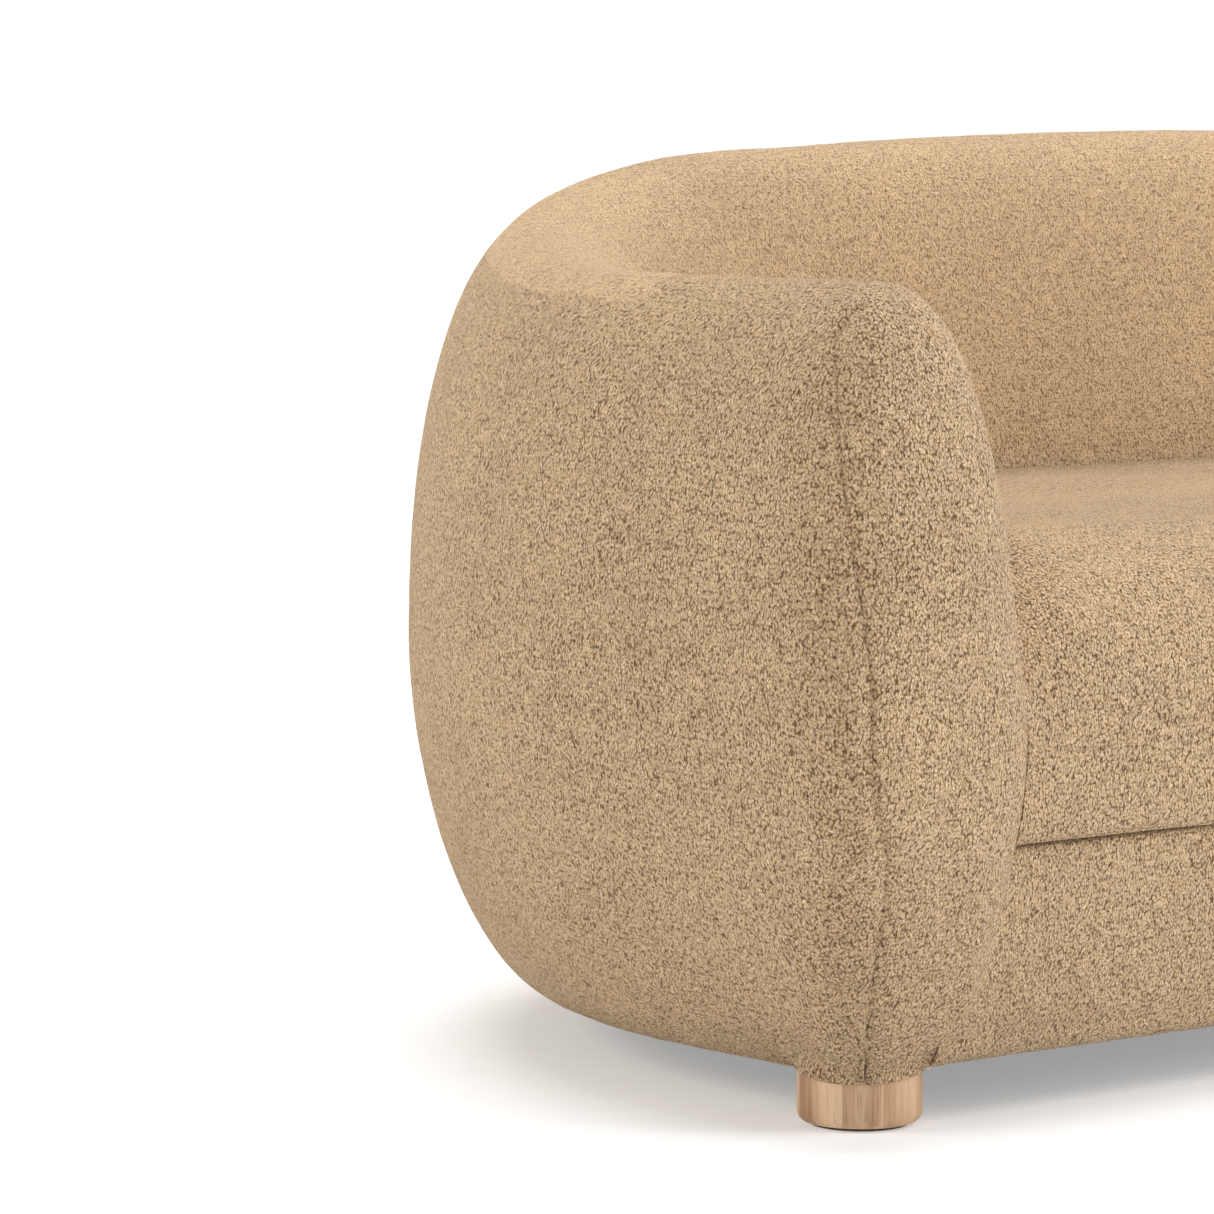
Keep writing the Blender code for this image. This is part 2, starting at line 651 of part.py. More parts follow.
def base_frame():
    insets = (FRAME_OUTER_INSET, FRAME_INNER_INSET)
    heights = (RAIL_BOTTOM, RAIL_TOP)
    front_half = HALF_WIDTH - FRAME_OUTER_INSET
    board("front_rail", (2 * front_half, BOARD_THICKNESS, BASE_RAIL_HEIGHT),
          (0, FRONT_RAIL_Y, (RAIL_BOTTOM + RAIL_TOP) / 2))
    rail_start = FRONT_RAIL_Y + BOARD_THICKNESS / 2 + CONTACT_GAP
    turn = CONTACT_GAP / (CORNER_RADIUS - FRAME_INNER_INSET)
    angles = [min(max(angle, turn), pi / 2 - turn) for angle in corner_angles()]
    swept_board("back_rail", [back_station(-CORNER_X), back_station(CORNER_X)], insets, heights)
    for side, flip in (("left", lambda s: s), ("right", mirrored)):
        swept_board(side + "_side_rail", [flip(side_station(rail_start)), flip(side_station(CORNER_Y))],
                    insets, heights)
        swept_board(side + "_corner_rail", [flip(corner_station(angle)) for angle in angles],
                    insets, heights)
    back_face = BACK_RAIL_Y - BOARD_THICKNESS / 2 - CONTACT_GAP
    for side, sign in (("left", -1), ("right", 1)):
        board(side + "_cross_rail", (BOARD_THICKNESS, back_face - rail_start, CROSS_RAIL_HEIGHT),
              (sign * CROSS_RAIL_X, (back_face + rail_start) / 2, RAIL_BOTTOM + CROSS_RAIL_HEIGHT / 2))


def arm_and_back_frame():
    insets = (FRAME_OUTER_INSET, FRAME_INNER_INSET)
    post_base = STRIP_TOP + CONTACT_GAP
    post_y = FRONT_RAIL_Y + BOARD_THICKNESS / 2 + CONTACT_GAP + POST_WIDTH / 2
    arm_heights = (ARM_FRAME_TOP - TOP_RAIL_HEIGHT, ARM_FRAME_TOP)
    turn = CONTACT_GAP / (CORNER_RADIUS - FRAME_INNER_INSET)
    angles = [min(max(angle, turn), pi / 2 - turn) for angle in corner_angles()]
    post_x = CORNER_X - POST_WIDTH / 2 - CONTACT_GAP
    for side, sign, flip in (("left", -1, lambda s: s), ("right", 1, mirrored)):
        low = RAIL_TOP + CONTACT_GAP
        board(side + "_arm_post", (BOARD_THICKNESS, POST_WIDTH, ARM_FRAME_TOP - low),
              (sign * (HALF_WIDTH - FRAME_INSET), post_y, (low + ARM_FRAME_TOP) / 2))
        run = (post_y + POST_WIDTH / 2 + CONTACT_GAP, CORNER_Y)
        swept_board(side + "_arm_top_rail", [flip(side_station(y)) for y in run], insets, arm_heights)
        swept_board(side + "_corner_top_rib", [flip(corner_station(angle)) for angle in angles],
                    insets, arm_heights)
        board(side + "_back_post", (POST_WIDTH, BOARD_THICKNESS, BACK_FRAME_TOP - post_base),
              (sign * post_x, BACK_RAIL_Y, (post_base + BACK_FRAME_TOP) / 2))
    rail_base = BACK_FRAME_TOP - TOP_RAIL_HEIGHT
    inner_x = post_x - POST_WIDTH / 2 - CONTACT_GAP
    board("back_top_rail", (2 * inner_x, BOARD_THICKNESS, TOP_RAIL_HEIGHT),
          (0, BACK_RAIL_Y, BACK_FRAME_TOP - TOP_RAIL_HEIGHT / 2))
    high = rail_base - CONTACT_GAP
    board("centre_back_post", (POST_WIDTH, BOARD_THICKNESS, high - post_base),
          (0, BACK_RAIL_Y, (high + post_base) / 2))
    face = BACK_RAIL_Y - BOARD_THICKNESS / 2 - CONTACT_GAP - WEBBING_THICKNESS / 2
    for level, height in WEBBING_HEIGHTS.items():
        board("back_webbing_" + level, (2 * CORNER_X, WEBBING_THICKNESS, WEBBING_WIDTH),
              (0, face, height), WEBBING)


# ---- springs and sheets ---------------------------------------------------------------------
def frame_rear_y(x):
    """The rear frame boards' centre line at a width x."""
    radius = CORNER_RADIUS - FRAME_INSET
    return CORNER_Y + (radius ** 2 - max(abs(x) - CORNER_X, 0.0) ** 2) ** 0.5


def seat_spring(name, x):
    """A sinuous wire from the front rail to the rear rails, in square loops that rise in the middle."""
    start, end = FRONT_RAIL_Y, frame_rear_y(x)
    points = [(x, start)]
    pitch = (end - start) / (SPRING_LOOPS + 1)
    for loop in range(SPRING_LOOPS):
        swing = SPRING_WIDTH / 2 * (1 if loop % 2 else -1)
        centre = start + pitch * (loop + 1)
        points += [(x + swing, centre - pitch * 0.34), (x + swing, centre + pitch * 0.34)]
    points.append((x, end))
    curve = bpy.data.curves.new(name, "CURVE")
    curve.dimensions = "3D"
    curve.bevel_depth = SPRING_WIRE / 2
    curve.bevel_resolution = 1
    curve.use_fill_caps = True
    spline = curve.splines.new("POLY")
    spline.points.add(len(points) - 1)
    for point, (px, py) in zip(spline.points, points):
        rise = SPRING_RISE * sin(pi * (py - start) / (end - start))
        point.co = (px, py, SPRING_END_HEIGHT + rise, 1)
    obj = bpy.data.objects.new(name, curve)
    PARTS.objects.link(obj)
    curve.materials.append(material(STEEL))


def springs():
    clear_of_post = CORNER_X - POST_WIDTH - 0.6 * SPRING_WIDTH
    half = [clear_of_post / 3, clear_of_post, CORNER_X + OUTER_SPRING_REACH]
    for number, x in enumerate([-x for x in reversed(half)] + half):
        seat_spring(f"seat_spring_{number + 1}", x)
    insets = (FRAME_OUTER_INSET, FRAME_INNER_INSET)
    heights = (RAIL_TOP + CONTACT_GAP, STRIP_TOP)
    inner_x = HALF_WIDTH - FRAME_INNER_INSET - CONTACT_GAP
    board("front_spring_strip", (2 * inner_x, BOARD_THICKNESS, STRIP_THICKNESS),
          (0, FRONT_RAIL_Y, (heights[0] + heights[1]) / 2), STEEL)
    rear = [corner_station(angle) for angle in corner_angles()[3:]] + [back_station(0.0)]
    rear += [mirrored(station) for station in reversed(rear[:-1])]
    swept_board("rear_spring_strip", rear, insets, heights, STEEL)


def flat_sheet(name, inset, front, low, high, spec):
    """A level sheet inside the wall's plan line, with its two rear corners rounded."""
    radius = CORNER_RADIUS - inset
    right = [(HALF_WIDTH - inset, front)]
    right += [(CORNER_X + radius * cos(angle), CORNER_Y + radius * sin(angle)) for angle in corner_angles()]
    outline = right + [(-x, y) for x, y in reversed(right)]
    return lofted(name, [[Vector((x, y, height)) for x, y in outline] for height in (low, high)], spec)


def sheets(holes):
    flat_sheet("seat_insulator", WALL_THICKNESS + FIT_GAP, JOINT_Y + RAIL_SETBACK + FIT_GAP,
               INSULATOR_TOP - INSULATOR_THICKNESS, INSULATOR_TOP, FELT)
    dust_cover = flat_sheet("dust_cover", FRAME_OUTER_INSET, FRONT_RAIL_Y - BOARD_THICKNESS / 2,
                            DUST_COVER_TOP - DUST_COVER_THICKNESS, DUST_COVER_TOP, SHEET)
    cut(dust_cover, holes)


clear_scene()
PARTS = new_collection("sofa")
CUTTERS = new_collection("cutters")
leg_holes = legs()
base_frame()
arm_and_back_frame()
springs()
sheets(leg_holes)
wall_layers(leg_holes)
seat_cover()
seat_foam()
border()
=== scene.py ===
from math import pi, radians, sin, cos, asin
import bpy
import bmesh
import numpy as np
from mathutils import Matrix, Vector, kdtree, noise


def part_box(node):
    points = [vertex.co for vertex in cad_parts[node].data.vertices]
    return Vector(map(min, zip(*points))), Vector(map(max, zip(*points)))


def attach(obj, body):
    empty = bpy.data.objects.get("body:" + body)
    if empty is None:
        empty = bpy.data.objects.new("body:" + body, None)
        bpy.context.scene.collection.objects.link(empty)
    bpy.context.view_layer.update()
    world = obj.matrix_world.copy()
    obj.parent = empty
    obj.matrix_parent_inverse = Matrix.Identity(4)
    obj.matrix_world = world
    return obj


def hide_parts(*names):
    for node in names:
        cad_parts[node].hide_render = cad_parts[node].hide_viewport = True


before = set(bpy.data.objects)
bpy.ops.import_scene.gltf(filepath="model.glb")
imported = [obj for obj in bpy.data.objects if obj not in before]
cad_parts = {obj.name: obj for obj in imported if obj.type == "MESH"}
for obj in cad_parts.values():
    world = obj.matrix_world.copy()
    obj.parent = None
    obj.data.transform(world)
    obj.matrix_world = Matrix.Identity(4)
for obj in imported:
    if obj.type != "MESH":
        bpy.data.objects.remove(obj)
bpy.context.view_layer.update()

# ---- the part's own dimensions, in metres ------------------------------------------------------
HALF_WIDTH, REAR_Y, FRONT_Y = 1.13, 0.4775, -0.4775
ARM_HEIGHT, CORNER_HEIGHT, BACK_CROWN, UNDERSIDE = 0.637, 0.727, 0.014, 0.037
WALL, CREST_INSET, BASE_INSET, INNER_BASE_INSET = 0.2185, 0.107, 0.116, 0.173
OUTER_WIDEST, INNER_WIDEST = 0.325, 0.253
LOWER, SHOULDER, INNER_SHOULDER, INNER_LOWER = 1.77, 2.11, 2.68, 2.2
CORNER_RADIUS, FRONT_CROWN = 0.64, 0.098
PANEL_OUT, PANEL_IN, PANEL_TOP, PANEL_BOTTOM = 3.5, 3.04, 2.04, 1.43
RISE_START, RISE_END = radians(7), radians(92)
SEAM_REACH = radians(58)                     # the corner seam's way round the front edge, at mid height
SEAM_UPPER = (radians(80), 4, 0.645)         # bearing where it ends, and two exponents of its bow
SEAM_LOWER = (radians(89.5), 5, 0.75)
JOINT_Y = FRONT_Y + FRONT_CROWN
CORNER_X, CORNER_Y = HALF_WIDTH - CORNER_RADIUS, REAR_Y - CORNER_RADIUS
MIDDLE_INSET, MIDDLE_HEIGHT = WALL / 2, (OUTER_WIDEST + INNER_WIDEST) / 2
SEAT_HEIGHT, SEAT_REAR_HEIGHT, SEAT_BASE = 0.441, 0.436, 0.2136
SEAT_FRONT, SEAT_RADIUS, SEAT_SIDE_DROP = FRONT_Y + 0.036, 0.125, 0.030
BORDER_TOP, BORDER_BOTTOM, BORDER_FRONT, BORDER_BULGE = 0.213, 0.046, FRONT_Y + 0.046, 0.022
LEG_RADIUS, LEG_TOP = 0.0475, 0.0605

# ---- cloth -------------------------------------------------------------------------------------
STEP = 0.009                # mesh size on open cloth
FINE = 0.0013               # and beside a seam
CLOTH = 0.0022              # thickness
LOFT = 0.0008               # how far the pile stands out of the CAD surface
FRONT_SEAM, ARM_SEAM = 1.879, 1.763      # place of the crest seam on the arch, at the front and further back
SEAM_SETTLE = 0.11          # run over which it goes from one to the other
SEAM_TOP = radians(12.4)    # how far the corner seam stays off the straight arm at its top
INSIDE_END = 3.35           # place on the arch where the inside covers end, behind the seat
TOUCH = 0.0012              # how deep cloth is pressed into the arm beside it
LEG_FIT = 0.0014            # between a leg and the cloth round it
LOW_CLOTH = 0.12            # below this height the cloth is fitted round the legs
HEM_RISE = 0.0065           # how much higher the hem is beside a leg than in front of it
SEAT_TUCK = 0.012           # radius of the seat's turned-down rear edge
BORDER_EDGE = 0.020         # radius of the border's lower edge
LEG_EDGE = 0.0075           # radius of a leg's lower edge
STAVE = 0.031               # width of the staves a leg is glued from
SIDE_RUN = CORNER_Y - JOINT_Y
CORNER_RUN = CORNER_RADIUS * pi / 2
HALF_RUN = SIDE_RUN + CORNER_RUN + CORNER_X


def sup(value, exponent):
    return np.maximum(value, 0.0) ** (2.0 / exponent)


def ease(value):
    value = np.clip(value, 0.0, 1.0)
    return value * value * (3 - 2 * value)


def lengths(points):
    """The way along a line to each of its points."""
    return np.concatenate([[0], np.cumsum(np.linalg.norm(np.diff(points, axis=0), axis=1))])


def along(points, places):
    """The points of a line at the given ways along it."""
    return np.stack([np.interp(places, lengths(points), axis) for axis in np.transpose(points)], -1)


def arch(t, crest):
    """Inset and height on the wall's section. t is 0 at the outer foot, 1 at the widest outer line,
    2 on the crest, 3 at the widest inner line, 4 at the inner foot and 5 back at the outer foot."""
    t, crest = np.broadcast_arrays(np.asarray(t, float), np.asarray(crest, float))
    inset, height = np.zeros(t.shape), np.zeros(t.shape)
    for quarter in range(5):
        on = (t >= quarter) & (t <= quarter + 1)
        a = (t[on] - quarter) * pi / 2
        s, c, top = np.sin(a), np.cos(a), crest[on]
        if quarter == 0:
            inset[on] = BASE_INSET - BASE_INSET * sup(s, LOWER)
            height[on] = OUTER_WIDEST - (OUTER_WIDEST - UNDERSIDE) * sup(c, LOWER)
        elif quarter == 1:
            inset[on] = CREST_INSET - CREST_INSET * sup(c, SHOULDER)
            height[on] = OUTER_WIDEST + (top - OUTER_WIDEST) * sup(s, SHOULDER)
        elif quarter == 2:
            inset[on] = CREST_INSET + (WALL - CREST_INSET) * sup(s, INNER_SHOULDER)
            height[on] = INNER_WIDEST + (top - INNER_WIDEST) * sup(c, INNER_SHOULDER)
        elif quarter == 3:
            inset[on] = INNER_BASE_INSET + (WALL - INNER_BASE_INSET) * sup(c, INNER_LOWER)
            height[on] = INNER_WIDEST - (INNER_WIDEST - UNDERSIDE) * sup(s, INNER_LOWER)
        else:
            share = t[on] - 4
            inset[on] = INNER_BASE_INSET + (BASE_INSET - INNER_BASE_INSET) * share
            height[on] = UNDERSIDE
    return inset, height


def arm_inset(y, height):
    """Inset of the left arm's inner side at a place along it, its rounded front panel included."""
    t = np.linspace(2.0, 4.6, 240)
    inset, z = arch(t, ARM_HEIGHT)
    way = np.arctan2(z - MIDDLE_HEIGHT, MIDDLE_INSET - inset)
    power = panel_power(way)
    share = (1 - min(max(JOINT_Y - y, 0.0) / FRONT_CROWN, 0.999) ** power) ** (1 / power)
    inset, z = MIDDLE_INSET + (inset - MIDDLE_INSET) * share, MIDDLE_HEIGHT + (z - MIDDLE_HEIGHT) * share
    lowest = int(np.argmin(z))
    height = np.maximum(height, z[lowest] + 0.012)
    return np.interp(-height, -z[:lowest + 1], inset[:lowest + 1])


def panel_power(way):
    return (PANEL_OUT * np.maximum(np.cos(way), 0) ** 2 + PANEL_IN * np.maximum(-np.cos(way), 0) ** 2
            + PANEL_TOP * np.maximum(np.sin(way), 0) ** 2 + PANEL_BOTTOM * np.maximum(-np.sin(way), 0) ** 2)


def wall_point(run, t):
    """A point of the left half: run goes from the front joint round to the middle of the back."""
    run, t = np.broadcast_arrays(np.asarray(run, float), np.asarray(t, float))
    angle = np.clip((run - SIDE_RUN) / CORNER_RADIUS, 0, pi / 2)
    along_back = np.maximum(run - SIDE_RUN - CORNER_RUN, 0)
    rise = ease((angle - RISE_START) / (RISE_END - RISE_START))
    crown = BACK_CROWN * (1 - (1 - along_back / CORNER_X) ** 2)
    crest = ARM_HEIGHT + (CORNER_HEIGHT - ARM_HEIGHT) * rise + crown
    inset, height = arch(t, crest)
    radius = CORNER_RADIUS - inset
    x = -CORNER_X - radius * np.cos(angle) + along_back
    y = np.where(run < SIDE_RUN, JOINT_Y + run, CORNER_Y + radius * np.sin(angle))
    return np.stack([x, y, height], -1)


def bearing(t):
    inset, height = arch(t, ARM_HEIGHT)
    return np.arctan2(height - MIDDLE_HEIGHT, MIDDLE_INSET - inset)


def panel_point(t, angle):
    """A point of the left front panel: angle 0 is the straight arm's end, 90 degrees its middle."""
    inset, height = arch(t, ARM_HEIGHT)
    power = panel_power(bearing(t))
    share = sup(np.cos(angle), power)
    crown = FRONT_CROWN * sup(np.sin(angle), power)
    return np.stack([-HALF_WIDTH + MIDDLE_INSET + (inset - MIDDLE_INSET) * share, JOINT_Y - crown,
                     MIDDLE_HEIGHT + (height - MIDDLE_HEIGHT) * share], -1)


def seam_angle(t):
    """How far round the front edge the corner seam lies."""
    way = bearing(t)
    upper, lower = [(1 - np.minimum(np.abs(way) / limit, 1.0) ** squareness) ** softness
                    for limit, squareness, softness in (SEAM_UPPER, SEAM_LOWER)]
    low = SEAM_REACH * np.where(way > 0, upper, lower)
    high = SEAM_TOP * ease((way - radians(70)) / radians(8))
    return np.sqrt(low ** 2 + high ** 2)


def crest_seam(run):
    return ARM_SEAM + (FRONT_SEAM - ARM_SEAM) * (1 - ease(np.asarray(run, float) / SEAM_SETTLE))


def graded(length, step, start=False, end=False):
    """Places along a length, close together beside a seam."""
    ramp, size = [], FINE
    while size < step:
        ramp.append(size)
        size *= 1.35
    ramp = np.cumsum(ramp)
    head = ramp if start else np.zeros(0)
    tail = length - ramp[::-1] if end else np.zeros(0)
    low, high = (head[-1] if start else 0.0), (tail[0] if end else length)
    middle = np.linspace(low, high, max(int(round((high - low) / step)), 1) + 1)
    return np.unique(np.round(np.concatenate([[0.0], head, middle, tail, [length]]), 7))


DENSE_T = np.linspace(0, 5, 4001)
DENSE_LENGTH = lengths(np.stack(arch(DENSE_T, ARM_HEIGHT), -1))


def section_places(first, last, step=STEP, start=False, end=False):
    """Places on the arch from t = first to t = last, evenly spaced on the cloth."""
    low, high = np.interp([first, last], DENSE_T, DENSE_LENGTH)
    return np.interp(low + graded(high - low, step, start, end), DENSE_LENGTH, DENSE_T)


def panel_rows(places, start, shares):
    """Rows of the panel from the angle start(t) to its middle, evenly spaced on the cloth."""
    steps = (1 - np.cos(np.linspace(0, pi, 241))) / 2
    rows = []
    for t, low in zip(places, start):
        dense = panel_point(np.full(241, t), low + (pi / 2 - low) * steps)
        rows.append(along(dense, shares * lengths(dense)[-1]))
    return np.array(rows)


def flip(points):
    return points * np.array([-1.0, 1.0, 1.0])


# ---- mesh helpers ------------------------------------------------------------------------------
def placed(name, data):
    """A new object in the scene."""
    obj = bpy.data.objects.new(name, data)
    bpy.context.scene.collection.objects.link(obj)
    return obj


def sheet_mesh(name, grids, core):
    """Joins grids of points into one smooth surface that faces away from core(point)."""
    bm = bmesh.new()
    for grid in grids:
        verts = [[bm.verts.new(p) for p in row] for row in grid]
        for row, following in zip(verts, verts[1:]):
            for a, b, c, d in zip(row, row[1:], following[1:], following):
                bm.faces.new((a, b, c, d))
    bmesh.ops.remove_doubles(bm, verts=bm.verts, dist=0.00025)
    bmesh.ops.dissolve_degenerate(bm, edges=bm.edges, dist=0.00005)
    bmesh.ops.recalc_face_normals(bm, faces=bm.faces)
    facing = 0
    for face in bm.faces:
        centre = face.calc_center_median()
        facing += face.normal.dot(centre - core(centre)) * face.calc_area()
    if facing < 0:
        bmesh.ops.reverse_faces(bm, faces=bm.faces)
    mesh = bpy.data.meshes.new(name)
    bm.to_mesh(mesh)
    bm.free()
    return mesh


def wall_core(point):
    """The middle of the wall nearest to a point."""
    x, y = abs(point.x), point.y
    middle = CORNER_RADIUS - MIDDLE_INSET
    if y < CORNER_Y:
        place = Vector((HALF_WIDTH - MIDDLE_INSET, max(y, JOINT_Y), 0))
    elif x < CORNER_X:
        place = Vector((x, REAR_Y - MIDDLE_INSET, 0))
    else:
        way = Vector((x - CORNER_X, y - CORNER_Y, 0)).normalized()
        place = Vector((CORNER_X, CORNER_Y, 0)) + way * middle
    return Vector((place.x if point.x > 0 else -place.x, place.y, MIDDLE_HEIGHT))


def lumps(point):
    """The unevenness of hand-fitted cloth over foam, in metres."""
    broad = noise.noise(Vector((point.x * 4.5, point.y * 4.5, point.z * 3.2)))
    drawn = noise.noise(Vector((point.x * 17 + 9, point.y * 17, point.z * 3.5)))
    small = noise.noise(Vector((point.x * 46, point.y * 46 + 5, point.z * 40)))
    nubs = noise.noise(Vector((point.x * 130, point.y * 130, point.z * 110 + 3)))
    return 0.0011 * broad + 0.0006 * drawn + 0.0003 * small + 0.0002 * nubs


def seam_tree(lines):
    """A search tree over seam lines; each line is (points, depth) with points a few mm apart."""
    points = [(Vector(p), depth, run) for line, depth in lines for p, run in zip(line, lengths(line))]
    tree = kdtree.KDTree(len(points))
    for number, (point, _, _) in enumerate(points):
        tree.insert(point, number)
    tree.balance()
    return tree, points


def seam_move(point, search, points):
    """The valley along the nearest seam, and the small puckers beside it."""
    _, number, distance = search.find(point)
    _, depth, run = points[number]
    if distance >= 0.05:
        return 0.0
    valley = 0.82 * np.exp(-(distance / 0.0022) ** 2) + 0.18 * np.exp(-(distance / 0.0090) ** 2)
    pull = noise.noise(Vector((run * 62, 0.5, depth * 900))) + 0.5 * noise.noise(Vector((run * 150, 3.5, 0)))
    return depth * (0.22 * pull * np.exp(-((distance - 0.008) / 0.012) ** 2) - valley)


def fit(mesh, *moves):
    """Moves the cloth along its normals: loft, unevenness, and what each of the moves gives at a point."""
    normals = [vert.normal.copy() for vert in mesh.vertices]
    for vert, normal in zip(mesh.vertices, normals):
        vert.co += normal * float(LOFT + lumps(vert.co) + sum(move(vert.co) for move in moves))
    mesh.update()


def cloth_object(name, mesh, material):
    """The surface as a closed sheet of cloth."""
    obj = placed(name, mesh)
    mesh.materials.append(material)
    mesh.shade_smooth()
    solid = obj.modifiers.new("thickness", "SOLIDIFY")
    solid.thickness = CLOTH
    solid.offset = -1
    bpy.context.view_layer.update()
    closed = bpy.data.meshes.new_from_object(obj.evaluated_get(bpy.context.evaluated_depsgraph_get()))
    closed.set_sharp_from_angle(angle=radians(60))
    obj.modifiers.clear()
    obj.data = closed
    closed.name = name
    return obj


def settle(obj, nodes):
    """Rides the piece on the sofa in place of its CAD nodes."""
    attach(obj, "root")
    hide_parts(*nodes)


def nearest_leg(vert, places):
    """The nearest leg's centre, and the way from there to the vertex, seen from above."""
    place = min(places, key=lambda p: (vert.co.xy - p).length)
    return place, vert.co.xy - place


def hem_height(place, out):
    """The hem round a leg is lowest at the sofa's corner and rises to both sides."""
    corner = Vector((np.sign(place.x), np.sign(place.y))).normalized()
    way = out.angle(corner, 0.0)
    back = float(ease((radians(150) - way) / radians(50)))
    return UNDERSIDE + (0.0003 + HEM_RISE * min(way / (pi / 2), 1.0) ** 2 * back)


def leg_holes(cloth_mesh, places):
    """Draws the cloth's wall round the front of each leg and opens its underside in a circle."""
    bm = bmesh.new()
    bm.from_mesh(cloth_mesh)
    hole = LEG_RADIUS + LEG_FIT
    low = [v for v in bm.verts if v.co.z < LOW_CLOTH]
    before = {v for v in low if v.is_boundary}
    gone = []
    for vert in low:
        place, out = nearest_leg(vert, places)
        if out.length < hole - 0.003 and vert.co.z < hem_height(place, out) + 0.003:
            gone.append(vert)
    bmesh.ops.delete(bm, geom=gone, context="VERTS")
    for vert in [v for v in bm.verts if v.co.z < LOW_CLOTH]:
        place, out = nearest_leg(vert, places)
        edge = vert.is_boundary and vert not in before
        if out.length < hole + (0.014 if edge else 0.0) and out.length > 1e-6:
            if edge:
                vert.co.z = hem_height(place, out)
            vert.co.xy = place + out.normalized() * hole
    for vert in bm.verts:       # beside the leg the panel's lower edge comes up to the border's
        rise = max(BORDER_BOTTOM - TOUCH - vert.co.z, 0)
        inner = ease((HALF_WIDTH - abs(vert.co.x) - 0.146) / 0.022)
        vert.co.z += float(rise * inner * ease((JOINT_Y + 0.08 - vert.co.y) / 0.04))
    bm.to_mesh(cloth_mesh)
    bm.free()


# ---- material helpers --------------------------------------------------------------------------
def colour(red, green, blue):
    """A linear colour from everyday 0 to 255 values."""
    def linear(value):
        value /= 255
        return value / 12.92 if value <= 0.04045 else ((value + 0.055) / 1.055) ** 2.4
    return (linear(red), linear(green), linear(blue), 1.0)


class Nodes:
    """Short ways to make and join shader nodes."""

    def __init__(self, name):
        self.material = bpy.data.materials.new(name)
        self.material.use_nodes = True
        self.tree = self.material.node_tree
        self.shader = self.tree.nodes["Principled BSDF"]
        self.place = self.add("ShaderNodeTexCoord").outputs["Object"]

    def add(self, kind, **settings):
        node = self.tree.nodes.new(kind)
        for key, value in settings.items():
            setattr(node, key, value)
        return node

    def link(self, source, target):
        if isinstance(source, (int, float, tuple)):
            target.default_value = source
        else:
            self.tree.links.new(source, target)

    def math(self, operation, a, b=0.0, c=0.0, clamp=False):
        node = self.add("ShaderNodeMath", operation=operation, use_clamp=clamp)
        for value, socket in zip((a, b, c), node.inputs):
            self.link(value, socket)
        return node.outputs[0]

    def scaled(self, vector, scale, rotation=(0, 0, 0)):
        node = self.add("ShaderNodeMapping")
        self.link(vector, node.inputs["Vector"])
        node.inputs["Scale"].default_value = scale
        node.inputs["Rotation"].default_value = rotation
        return node.outputs[0]

    def noise(self, vector, scale, detail=2.0, roughness=0.5):
        node = self.add("ShaderNodeTexNoise")
        self.link(vector, node.inputs["Vector"])
        node.inputs["Scale"].default_value = scale
        node.inputs["Detail"].default_value = detail
        node.inputs["Roughness"].default_value = roughness
        return node

    def cells(self, vector, scale):
        node = self.add("ShaderNodeTexVoronoi")
        self.link(vector, node.inputs["Vector"])
        node.inputs["Scale"].default_value = scale
        return node

    def ramp(self, value, stops):
        node = self.add("ShaderNodeValToRGB")
        self.link(value, node.inputs[0])
        while len(node.color_ramp.elements) < len(stops):
            node.color_ramp.elements.new(0.5)
        for element, (place, shade) in zip(node.color_ramp.elements, stops):
            element.position = place
            element.color = shade
        return node.outputs["Color"]

    def mix(self, factor, a, b, blend="MIX"):
        node = self.add("ShaderNodeMix", data_type="RGBA", blend_type=blend)
        self.link(factor, node.inputs[0])
        self.link(a, node.inputs[6])
        self.link(b, node.inputs[7])
        return node.outputs[2]

    def bump(self, height, distance, strength=1.0):
        node = self.add("ShaderNodeBump")
        node.inputs["Strength"].default_value = strength
        node.inputs["Distance"].default_value = distance
        self.link(height, node.inputs["Height"])
        return node.outputs[0]

    def finish(self, base, roughness, normal=None, **fixed):
        self.link(base, self.shader.inputs["Base Color"])
        self.link(roughness, self.shader.inputs["Roughness"])
        if normal is not None:
            self.link(normal, self.shader.inputs["Normal"])
        for key, value in fixed.items():
            self.shader.inputs[key.replace("_", " ")].default_value = value
        return self.material


